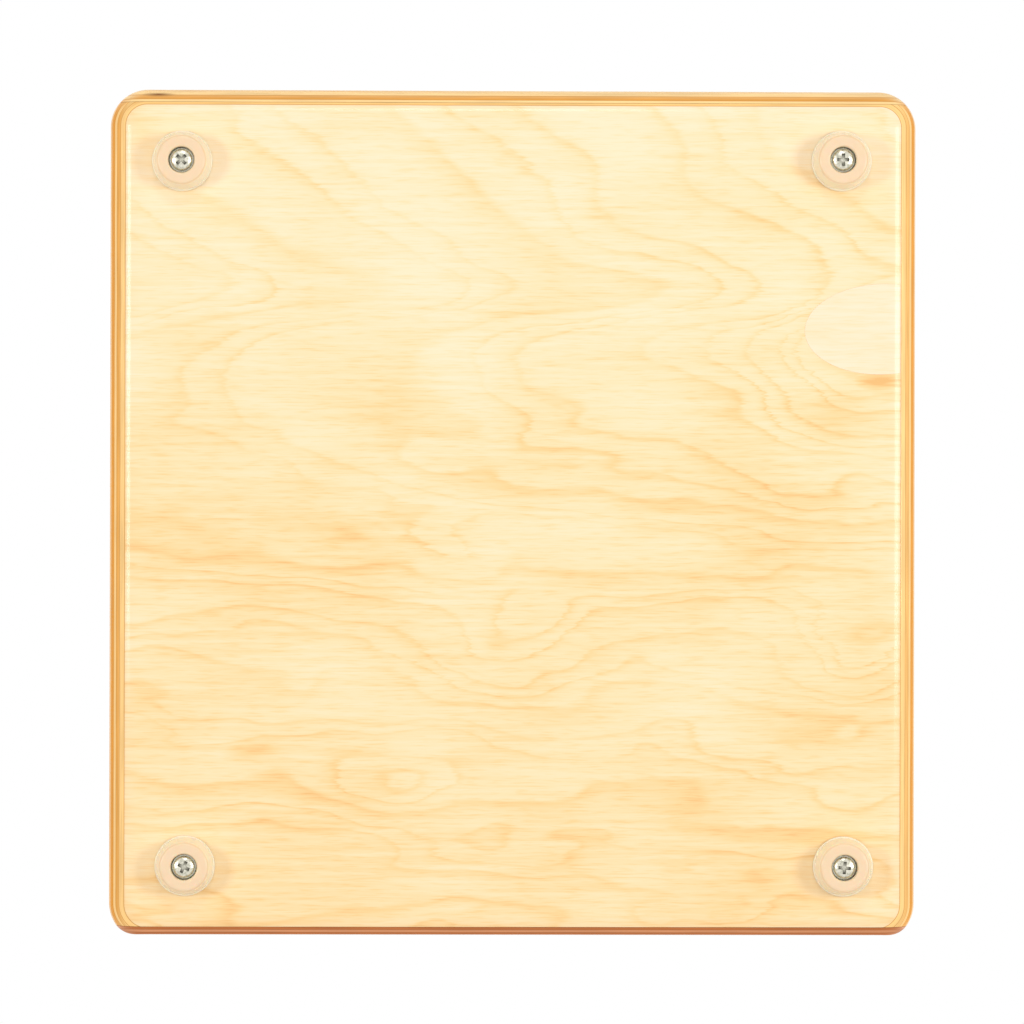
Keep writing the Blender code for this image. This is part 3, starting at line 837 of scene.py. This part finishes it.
# %% Figure as a contour map
def peeled_figure(add, position, sheet, face):
    """Colour and fibres of a peeled sheet, which gives its axes, profile and hills in mm and in rings."""
    parts = add("SeparateXYZ", (position,))
    along, across, through = (parts.outputs[axis] for axis in sheet["axes"])
    turned = add("CombineXYZ", (along, across, through))
    flat = add("Mapping", {"Vector": turned, "Location": sheet["shift"], "Scale": sheet["scale"]})
    bent = flat
    for size, push in SWAYS:
        sway = stretched_noise(add, flat, size, Detail=1.0).outputs["Color"]
        sway = add("VectorMath", (sway, (0.5, 0.5, 0.5)), operation="SUBTRACT")
        bent = add("VectorMath", (sway, push, bent), operation="MULTIPLY_ADD")
    place = add("SeparateXYZ", (bent,))
    span = sheet["span"]
    share = add("MapRange", (place.outputs[1], -span, span))
    low = min(height for spot, height in sheet["profile"]) - 1.0
    tall = max(height for spot, height in sheet["profile"]) + 1.0 - low
    knots = [((spot + span) / span / 2, (height - low) / tall) for spot, height in sheet["profile"]]
    profile = add("FloatCurve", {"Value": share}, points=knots)
    rings = add("Math", (profile, tall), operation="MULTIPLY")
    swell = stretched_noise(add, bent, SWELL, Detail=2.0, Roughness=0.4)
    for source, (far, near) in ((place.outputs[0], sheet["slopes"]), (swell, sheet["swells"])):
        weight = add("MapRange", (place.outputs[1], *SLOPE_TURNS, far, near))
        rings = add("Math", (source, weight, rings), operation="MULTIPLY_ADD")
    for spot, half, height in sheet["hills"]:
        hill = soft_spot(add, bent, (*spot, 0.0), (*half, THROUGH))
        hill = add("MapRange", (hill, 0.0, 1.0, 0.0, height), **SOFTLY)
        rings = add("Math", (rings, hill), operation="ADD")
    uneven = add("Math", (rings, UNEVEN_PITCH), operation="MULTIPLY")
    uneven = add("Math", (uneven,), operation="SINE")
    rings = add("Math", (uneven, UNEVEN_SHARE, rings), operation="MULTIPLY_ADD")
    phase = add("Math", (rings,), operation="FRACT")
    line = add("ValToRGB", {"Fac": phase}, stops=RING_LINE)
    fading, clouds, fibres, streaks = (
        stretched_noise(add, flat, size, Detail=1.5) for size in (FADING, CLOUDS, FIBRES, STREAKS)
    )
    fades = add("MapRange", (fading, *FADES))
    dark = add("Math", (line, fades), operation="MULTIPLY")
    dashes = add("MapRange", (fibres, *DASHES))
    for name, noise in (("clouds", clouds), ("dashes", dashes), ("streaks", streaks)):
        dark = add("Math", (noise, SHARES[name], dark), operation="MULTIPLY_ADD")
    # The drift shifts the tone across the grain. On the bottom it is painted light: paler at the back.
    drift = add("MapRange", (place.outputs[1], -span, span, *sheet["drift"]))
    dark = add("Math", (dark, drift), operation="ADD")
    for spot, half, height in sheet["stains"]:
        stain = soft_spot(add, bent, (*spot, 0.0), (*half, THROUGH))
        dark = add("Math", (stain, height, dark), operation="MULTIPLY_ADD")
    tone = add("ValToRGB", {"Fac": dark}, stops=face)
    return tone, dashes


# %% [markdown]
# ## Birch plywood
#
# Plywood is a stack of peeled veneers, each with its grain across the last. On the face the peel cuts
# the growth rings at a slant, so they wander in broad flames. On a rounded edge every ply comes to the
# surface: pale where it is cut along its grain, amber where it is cut across it, with a thin dark glue
# line between. A picture could only paint that. Here the depth below the face gives the ply, and the
# surface's direction against that ply's grain gives its tone, so the stripes follow every round-over.
# The plies are alike, apart from the core in the middle of a thick panel, which takes up the rest.

# %% Plywood as a stack of veneers
# Depths are counted in plies. The skin keeps the face itself inside the first one.
SKIN = 0.001
GLUE_LINE = (0.03, 0.1)
GLUE_DARK = 0.7
EDGE_TURN = (0.88, 0.72)
END_CUT = (0.35, 0.9)
VEIN_LENGTH = 24 * MM
VEINS = (0.3, 0.7)
VEIN_SHADE = (1.08, 0.86)
FIBRE_RELIEF = 0.05 * MM
FIBRE_STRENGTH = 0.3
SATIN = (0.4, 0.5)
# To the eye: pale warm wood under a thin clear film, which lights up in a narrow line on rounded edges.
LACQUER = {"Specular IOR Level": 0.1, "Coat Weight": 0.27, "Coat Roughness": 0.12}


def plywood(name, layup, sheet, palette):
    """Lacquered plywood. The layup says where its face is and how thick and how turned its plies are."""
    material, add, shader, position = start_material(name, LACQUER)
    place = add("SeparateXYZ", (position,))
    normal = add("TexCoord").outputs["Normal"]
    plain = add("VectorMath", (normal,), operation="ABSOLUTE")
    facing = add("SeparateXYZ", (plain,))
    # Which ply comes to the surface, counted from the nearer face.
    plies = layup["plies"]
    through = layup["through"]
    half = abs(layup["thickness"]) / 2
    core = layup["face"] + layup["thickness"] / 2
    off_core = add("Math", (place.outputs[through], core), operation="SUBTRACT")
    off_core = add("Math", (off_core,), operation="ABSOLUTE")
    to_core = (half, half - layup["ply"] * plies / 2, SKIN, plies / 2)
    depth = add("MapRange", (off_core, *to_core))
    layer = add("Math", (depth,), operation="FLOOR")
    crosswise = add("Math", (layer, 2.0), operation="MODULO")
    # How much of it is end grain there.
    along, across = layup["grain"]
    cut = add("Mix", {"Factor": crosswise, "A": facing.outputs[along], "B": facing.outputs[across]})
    end_grain = add("MapRange", (cut, *END_CUT), **SOFTLY)
    # Painted light: towards low x the cut plies are brighter and their end grain less amber, apart from the
    # core.
    painted_side_light, painted_side_amber = (
        add("MapRange", (place.outputs[0], form_low.x, form_high.x, layup.get(drift, 1.0), 1.0))
        for drift in ("painted_side_light", "painted_side_amber")
    )
    in_core = add("Math", (depth, plies / 2 - 0.5), operation="GREATER_THAN")
    painted_side_amber = add("Math", (painted_side_amber, in_core), operation="MAXIMUM")
    end_grain = add("Math", (end_grain, painted_side_amber), operation="MULTIPLY")
    inside = add("Math", (depth, 1.0), operation="GREATER_THAN")
    turn = layup.get("turn", EDGE_TURN)
    turned_away = add("MapRange", (facing.outputs[through], *turn), **SOFTLY)
    # Glue between two plies, and none on the face.
    from_joint = add("Math", (depth, 0.5), operation="PINGPONG")
    glue = add("MapRange", (from_joint, *GLUE_LINE, GLUE_DARK, 0.0), **SOFTLY)
    between = add("Math", (depth, 0.5), operation="GREATER_THAN")
    glue = add("Math", (glue, between), operation="MULTIPLY")
    vein_size = [VEIN_LENGTH, VEIN_LENGTH, VEIN_LENGTH]
    vein_size[through] = layup["ply"] / 2
    veins = stretched_noise(add, position, vein_size, Detail=2.0)
    shade = add("MapRange", (veins, *VEINS, *VEIN_SHADE))
    shade = add("Math", (shade, painted_side_light), operation="MULTIPLY")
    # The face's figure, then what is cut open, the glue and any knot over it.
    tone, fibres = peeled_figure(add, position, sheet, palette["face"])
    for factor, kind in ((turned_away, "rim"), (inside, "long"), (end_grain, "end")):
        cut_tone = add("VectorMath", {0: colour(palette[kind])[:3], "Scale": shade}, operation="SCALE")
        tone = add("Mix", {"Factor": factor, "A": tone, "B": cut_tone}, data_type="RGBA")
    knots = [(soft_spot(add, position, *knot), "knot") for knot in layup.get("knots", ())]
    for factor, kind in [(glue, "glue"), *knots]:
        mix = {"Factor": factor, "A": tone, "B": colour(palette[kind])}
        tone = add("Mix", mix, data_type="RGBA")
    rough = add("MapRange", (fibres, 0.0, 1.0, *SATIN))
    relief = {"Height": fibres, "Strength": FIBRE_STRENGTH, "Distance": FIBRE_RELIEF}
    relief = add("Bump", relief, invert=True)
    feed(shader, {"Base Color": tone, "Roughness": rough, "Normal": relief})
    return material


# %% [markdown]
# ### The bottom
#
# The underside is what the photograph shows, so its map follows the photo's larger contours: steep
# slopes towards the back, long level lines towards the front, and a few eyes. Places are in mm from the
# middle of the picture, to the right and down. Stains are the spots where the wood took more colour.

# %% Contours of the bottom sheet
BOTTOM_SHEET = {
    "axes": (0, 1, 2),
    "scale": (-1000.0, -1000.0, 1000.0),
    "shift": (0.0, 0.0, 0.0),
    "span": 160.0,
    "slopes": (1 / 30, 1 / 150),
    "swells": (1.4, 5.0),
    # Darker towards the front and paler towards the back: painted light.
    "drift": (-0.52, -0.21),
    "stains": (
        ((-97, 90), (12, 4), 0.45), ((-119, -62), (24, 9), 0.22), ((122, -34), (24, 14), 0.35),
        ((116, -72), (12, 10), 0.4), ((-95, 0), (75, 60), 0.2), ((95, 15), (80, 50), 0.15),
        ((140, -47), (9, 5), 0.8),
    ),
    # The two ends come first, because a curve starts with two points.
    "profile": (
        (-160, 3.2), (160, -15.0), (-146, 2.8), (-123, 2.07), (-107, 1.4), (-94, 0.6), (-82, 0.0),
        (-72, 1.5), (-62, 2.73), (-51, 2.48), (-17.6, 0.2), (0, -1.6), (25, -4.4), (60, -8.2), (100, -11.2),
    ),
    "hills": (
        ((-5, 55), (60, 34), 2.2), ((-51, 98), (40, 15), 1.7), ((-27, -21), (30, 12), 1.0),
        ((-23, 19.5), (26, 20), 1.6), ((126, 53), (34, 26), 2.2), ((130, -55), (50, 45), 3.0),
    ),
}
print("bottom sheet:", len(BOTTOM_SHEET["hills"]), "eyes and", len(BOTTOM_SHEET["stains"]), "stains")

# %% Bottom sheet and its oval
BIRCH = {
    "face": ((0.0, "FFF3D4"), (0.3, "FEEBBF"), (0.6, "FBDEA4"), (1.0, "F0C684")),
    "rim": "FEDB94",
    "long": "FEDB94",
    "end": "E49E22",
    "glue": "C78C34",
    "knot": "7C4A06",
}
OVAL_BIRCH = {**BIRCH, "face": ((0.0, "FFF3D9"), (0.3, "FFECC7"), (0.6, "FCE2B3"), (1.0, "F2CE94"))}
PANEL = 12 * MM
PLY = 1.21 * MM
# Towards the drum's left the cut plies are a little brighter, with less amber in their end grain: painted
# light.
BOTTOM_LAYUP = {
    "through": 2,
    "face": form_low.z,
    "thickness": PANEL,
    "plies": 9,
    "ply": PLY,
    "grain": (0, 1),
    "painted_side_light": 1.06,
    "painted_side_amber": 0.55,
}
OVAL_LAYUP = {**BOTTOM_LAYUP, "thickness": VENEER, "plies": 1, "ply": VENEER}
OVAL_SHEET = {**BOTTOM_SHEET, "shift": (40.0, 190.0, 0.0), "stains": (), "hills": (), "drift": (-0.6, -0.5)}
wear(plywood("lacquered birch plywood, bottom", BOTTOM_LAYUP, BOTTOM_SHEET, BIRCH), bottom_board)
wear(plywood("lacquered birch veneer, oval", OVAL_LAYUP, OVAL_SHEET, OVAL_BIRCH), veneer_oval)
print("bottom: eight plies of", round(PLY / MM, 2), "mm on a core, and an oval of one veneer")

# %% [markdown]
# ### Seat, walls and back
#
# The photograph hides these, so they get a figure of the same kind without a map of its own: an even
# slope, and swells that close some rings into flames. The back is a thinner sheet of three plies, a shade
# deeper in colour, with a small knot in its lower edge.

# %% Seat, walls and back
PLAIN_SHEET = {
    "axes": (0, 1, 2),
    "scale": (1000.0, 1000.0, 1000.0),
    "shift": (300.0, 0.0, 0.0),
    "span": 500.0,
    "slopes": (1 / 60, 1 / 60),
    "swells": (8.0, 8.0),
    "drift": (-0.46, -0.4),
    "stains": (),
    "profile": ((-500, 34.0), (500, -34.0)),
    "hills": (),
}
WALL_SHEET = {**PLAIN_SHEET, "axes": (2, 1, 0)}
BACK_SHEET = {**PLAIN_SHEET, "axes": (0, 2, 1), "shift": (80.0, 0.0, 0.0)}
SEAT_LAYUP = {**BOTTOM_LAYUP, "face": form_high.z, "thickness": -PANEL}
LEFT_LAYUP = {**SEAT_LAYUP, "through": 0, "face": form_low.x, "thickness": PANEL, "grain": (2, 1)}
RIGHT_LAYUP = {**LEFT_LAYUP, "face": form_high.x, "thickness": -PANEL}
# The back was planed from inside, so its third ply is less than half as thick as the first.
BACK_PLY = 2.4 * MM
BACK_CORE = 1.56 * MM
KNOT_PLACE = (132 * MM, 154.8 * MM, 14.4 * MM)
KNOT_HALF = (7 * MM, 1.2 * MM, 2 * MM)
BACK_LAYUP = {
    "through": 1,
    "face": form_high.y,
    "thickness": -2 * BACK_PLY - BACK_CORE,
    "plies": 3,
    "ply": BACK_PLY,
    "turn": (0.965, 0.9),
    "grain": (0, 2),
    "knots": ((KNOT_PLACE, KNOT_HALF),),
}
BACK_BIRCH = {
    **BIRCH,
    "face": ((0.0, "FBE2A8"), (0.3, "F5D28C"), (0.6, "EDC074"), (1.0, "DDA655")),
    "rim": "FFE2A2",
    "long": "FFE2A2",
    "end": "E29A22",
}
for name, layup, sheet, palette, piece in (
    ("seat", SEAT_LAYUP, PLAIN_SHEET, BIRCH, seat_board),
    ("left wall", LEFT_LAYUP, WALL_SHEET, BIRCH, left_wall),
    ("right wall", RIGHT_LAYUP, WALL_SHEET, BIRCH, right_wall),
    ("back", BACK_LAYUP, BACK_SHEET, BACK_BIRCH, back_board),
):
    wear(plywood("lacquered birch plywood, " + name, layup, sheet, palette), piece)
    print(name, "wears", piece.active_material.name)

# %% [markdown]
# ## The playing plate
#
# The plate is thin plywood too, three plies faced with a redder wood. The same stack of veneers makes
# it, with its grain upright and its own colours.

# %% Reddish plate
REDDISH = {
    "face": ((0.0, "D9A97F"), (0.3, "CF9A6E"), (0.6, "C48A5E"), (1.0, "A8683F")),
    "rim": "D89C70",
    "long": "D89C70",
    "end": "BC7440",
    "glue": "9A5A2C",
}
PLATE_SHEET = {**PLAIN_SHEET, "axes": (2, 0, 1), "shift": (0.0, 130.0, 0.0)}
PLATE_PLY = 1 * MM
PLATE_LAYUP = {
    "through": 1,
    "face": form_low.y,
    "thickness": 3 * PLATE_PLY,
    "plies": 3,
    "ply": PLATE_PLY,
    "grain": (2, 0),
}
wear(plywood("lacquered reddish plywood, playing plate", PLATE_LAYUP, PLATE_SHEET, REDDISH), playing_plate)
print("playing plate wears", playing_plate.active_material.name)

# %% [markdown]
# ## Clear rubber
#
# The feet are cast in soft clear rubber. Light enters it, scatters and comes out warmer, so the rims
# glow and the mass looks like weak tea with milk. Subsurface scattering does that, with a little
# straight transmission. The tips that stand on the floor are scuffed, so they are rougher. The tone is
# painted darker at the tips and paler up the sides: painted shade at the tips, painted light on the sides.

# %% Rubber of the feet
CLOUD = 2.5 * MM
CLOUD_SHARE = 0.4
SCUFF_AND_SHADE_HEIGHT = 1.2 * MM
RUBBER_ROUGH = (0.28, 0.24)
RUBBER_GRAIN = 0.35 * MM
RUBBER_RELIEF = 0.1 * MM

# To the eye: milky amber with a soft sheen, painted paler up the sides as painted light.
rubber, add, shader, position = start_material(
    "cast clear rubber",
    {
        "IOR": 1.45,
        "Transmission Weight": 0.05,
        "Subsurface Weight": 0.3,
        "Subsurface Radius": (1.0, 0.65, 0.4),
        "Subsurface Scale": 2 * MM,
    },
)
place = add("SeparateXYZ", (position,))
clouds = add("TexNoise", {"Vector": position, "Scale": 1 / CLOUD, "Detail": 2.0})
# Painted shade and light by height: darker at the tips, paler up the sides. The tips are also rougher.
up = add("MapRange", (place.outputs[2], 0.0, SCUFF_AND_SHADE_HEIGHT))
mixed = add("Math", (clouds, CLOUD_SHARE, up), operation="MULTIPLY_ADD")
tone = add(
    "ValToRGB", {"Fac": mixed}, stops=((0.2, "F6E3C3"), (0.5, "F3DDB6"), (0.8, "FBE7C2"), (1.0, "FFF7DC"))
)
rough = add("MapRange", (up, 0.0, 1.0, *RUBBER_ROUGH))
grain = add("TexNoise", {"Vector": position, "Scale": 1 / RUBBER_GRAIN, "Detail": 1.0})
relief = add("Bump", {"Height": grain, "Strength": 0.15, "Distance": RUBBER_RELIEF})
feed(shader, {"Base Color": tone, "Roughness": rough, "Normal": relief})
wear(rubber, *feet)
print("rubber on", len(feet), "feet")

# %% [markdown]
# ## Zinc and spring steel
#
# Screws and washers are steel with a bright zinc plate: a nearly white mirror, slightly blotched where
# the plate took unevenly. The cross and the hollows under the head are painted darker: painted shade.
# An Ambient Occlusion node finds such hollows by itself. The snare wires are plain drawn steel, darker and
# smoother. One function serves both. The real blotches are finer than the picture can show, so they
# are drawn about a millimetre wide.

# %% Two steels
PAINTED_HOLLOW_SHADE = "46423A"
PAINTED_SHADE_REACH = 1.2 * MM
PAINTED_SHADE_RANGE = (0.35, 0.85)
BLOTCHES = (0.3, 0.7)
BLOTCH_RELIEF = 0.05 * MM


def steel(name, tones, roughness, blotch):
    """Bare or plated steel with blotches of this size."""
    material, add, shader, position = start_material(name, {"Metallic": 1.0})
    noise = add("TexNoise", {"Vector": position, "Scale": 1 / blotch, "Detail": 3.0})
    tone = add("ValToRGB", {"Fac": noise}, stops=((0.35, tones[0]), (0.65, tones[1])))
    # Painted shade: where little open sky reaches, the tone turns to dark grey.
    open_sky = add("AmbientOcclusion", {"Distance": PAINTED_SHADE_REACH}, samples=8, only_local=True)
    open_sky = add("MapRange", (open_sky.outputs["AO"], *PAINTED_SHADE_RANGE))
    tone = add("Mix", {"Factor": open_sky, "A": colour(PAINTED_HOLLOW_SHADE), "B": tone}, data_type="RGBA")
    rough = add("MapRange", (noise, *BLOTCHES, *roughness))
    relief = add("Bump", {"Height": noise, "Strength": 0.1, "Distance": BLOTCH_RELIEF})
    feed(shader, {"Base Color": tone, "Roughness": rough, "Normal": relief})
    return material


# To the eye: a bright soft mirror, with dark specks where the cross is cut: painted shade.
zinc = steel("bright zinc plate", ("BEBCAA", "E8E4D4"), (0.2, 0.36), 1.0 * MM)
wear(zinc, *washers, *foot_screws, *plate_screws)
# To the eye: grey, with a fine glint on every turn of the wire.
spring = steel("drawn spring steel", ("9C9C98", "BDBCB6"), (0.18, 0.3), 0.6 * MM)
wear(spring, *snare_sets, *strip_screws)
print("steel on", len(washers + foot_screws + plate_screws + snare_sets + strip_screws), "pieces")

# %% [markdown]
# ## Sawn pine and beech
#
# The battens and bearer blocks are solid softwood. A tree's rings are tubes round its pith, so a ring
# pattern about a line beside each batten gives long stripes on its faces and arcs on its ends at once.
# The snare bar is beech, which has no bold rings but short dark flecks, the rays cut open.

# %% Pine along its length, beech with flecks
RING = 3.2 * MM
PITH_ASIDE = (37 * MM, 21 * MM, 44 * MM)
WAVE_PERIOD = 2 * math.pi / 20
SAW_RELIEF = 0.2 * MM


def sawn_pine(name, along):
    """Softwood whose pith runs along this axis."""
    material, add, shader, position = start_material(name, {"Roughness": 0.7})
    aside = add("Mapping", {"Vector": position, "Location": PITH_ASIDE})
    rings = add(
        "TexWave",
        {
            "Vector": aside,
            "Scale": WAVE_PERIOD / RING,
            "Distortion": 1.4,
            "Detail": 2.0,
            "Detail Scale": 0.35,
        },
        wave_type="RINGS",
        rings_direction=along,
        wave_profile="SAW",
    )
    tone = add(
        "ValToRGB",
        {"Fac": rings},
        stops=((0.0, "EBCB98"), (0.6, "E2BC82"), (0.9, "C8924F"), (1.0, "E6C48E")),
    )
    relief = add("Bump", {"Height": rings, "Strength": 0.2, "Distance": SAW_RELIEF})
    feed(shader, {"Base Color": tone, "Normal": relief})
    return material


FLECK = (3.5 * MM, 0.5 * MM, 0.5 * MM)
# To the eye: dull and even, pinkish tan, with short dark flecks along the bar.
beech, add, shader, position = start_material("planed beech", {"Roughness": 0.55})
flecks = stretched_noise(add, position, FLECK, Detail=2.0)
tone = add("ValToRGB", {"Fac": flecks}, stops=((0.3, "DDB48A"), (0.55, "D3A577"), (0.7, "B07E50")))
feed(shader, {"Base Color": tone})

# To the eye: matt and straw-coloured, with bold darker stripes.
upright_pine = sawn_pine("sawn pine, upright", "Z")
lying_pine = sawn_pine("sawn pine, lying", "X")
for name, solid in frame["nodes"].items():
    if name.endswith(("batten_left", "batten_right")):
        wear(upright_pine, solid)
    elif "batten" in name or "bearer" in name:
        wear(lying_pine, solid)
wear(beech, frame["nodes"]["snare_bar"])
print("pine on battens and bearers, beech on the bar")

# %% [markdown]
# ## Light
#
# The photograph is bright and almost without shadow, as in a white tent: light comes from all round,
# and a little more of it from the two sides. The world gives the even part. It is warm for the light it
# sheds, because pale wood throws warm light back on itself, and plain white where the camera or
# a reflection sees it. Small lamps under the box draw the bright lines on its edges. Larger ones above
# serve whoever walks round it, and are kept out of reflections so that they leave those edges alone.

# %% World
AMBIENT = (0.712, 0.595, 0.528, 1.0)
WHITE = (1.0, 1.0, 1.0, 1.0)

scene = bpy.context.scene
scene.view_settings.view_transform = "Standard"
world = bpy.data.worlds.new("studio")
scene.world = world
world.use_nodes = True
world.node_tree.nodes.clear()
add = partial(add_node, world.node_tree)
path = add("LightPath")
seen = path.outputs["Is Camera Ray"]
for ray in ("Is Glossy Ray", "Is Transmission Ray"):
    seen = add("Math", (seen, path.outputs[ray]), operation="MAXIMUM")
tone = add("Mix", {"Factor": seen, "A": AMBIENT, "B": WHITE}, data_type="RGBA")
sky = add("Background", {"Color": tone})
add("OutputWorld", {"Surface": sky})
print("world: white to the camera, warm to the wood")

# %% Lamps: name, place in m, size in m, power in W
LAMPS = (
    ("under_left", (1.2, 0.1, -1.2), 0.35, 6.1),
    ("under_right", (-1.2, 0.1, -1.2), 0.45, 8.2),
    ("under_back", (0.0, 1.2, -1.3), 0.25, 2.2),
    ("over_key", (-1.3, -1.6, 1.6), 1.0, 22.0),
    ("over_fill", (1.5, -0.9, 1.3), 1.0, 8.0),
    ("over_back", (0.6, 1.8, 1.5), 1.0, 12.0),
)
for name, spot, size, watts in LAMPS:
    bpy.ops.object.light_add(type="AREA", location=spot)
    lamp = bpy.context.object
    lamp.name = name
    lamp.data.size = size
    lamp.data.energy = watts
    below = spot[2] < 0.0
    aim = Vector((0.0, 0.0, 0.0 if below else form_high.z / 2))
    lamp.rotation_euler = (aim - Vector(spot)).to_track_quat("-Z", "Y").to_euler()
    lamp.visible_camera = False
    lamp.visible_glossy = below
print("lamps:", [name for name, spot, size, watts in LAMPS])

# %% [markdown]
# ## The floor
#
# Seen from above, the box stands on pale paper that runs out into the white. Seen from below, as in the
# photograph, the paper has to be gone: its back is transparent, and no light stops at it. As it lets the
# lamps below through, the shade under the box comes from Ambient Occlusion: little open sky, dark paper.

# %% Paper floor
FLOOR_SIZE = 6.0
FLOOR_GAP = 0.3 * MM
FLOOR_FADE = (1.2, 2.8)
SHADE_REACH = 0.12

bpy.ops.mesh.primitive_plane_add(size=FLOOR_SIZE, location=(0.0, 0.0, -FLOOR_GAP))
floor = bpy.context.object
floor.name = "studio_floor"
for ray in ("diffuse", "glossy", "transmission", "shadow"):
    setattr(floor, "visible_" + ray, False)
# To the eye: matt and nearly white. Its slight blue evens out the warm light.
paper, add, shader, position = start_material("pale paper", {"Roughness": 0.9})
open_sky = add("AmbientOcclusion", {"Distance": SHADE_REACH}, samples=8)
tone = add(
    "ValToRGB", {"Fac": open_sky.outputs["AO"]}, stops=((0.0, "2A2C2E"), (0.5, "B4C0C8"), (1.0, "E6F0F6"))
)
feed(shader, {"Base Color": tone})
far_out = add("VectorMath", (position,), operation="LENGTH")
fade = add("MapRange", (far_out.outputs["Value"], *FLOOR_FADE))
side = add("NewGeometry")
gone = add("Math", (fade, side.outputs["Backfacing"]), operation="MAXIMUM")
clear = add("BsdfTransparent")
both = add("MixShader", (gone, shader, clear))
end = next(node for node in paper.node_tree.nodes if node.type == "OUTPUT_MATERIAL")
feed(end, {"Surface": both})
wear(paper, floor)
print("floor:", floor.active_material.name)
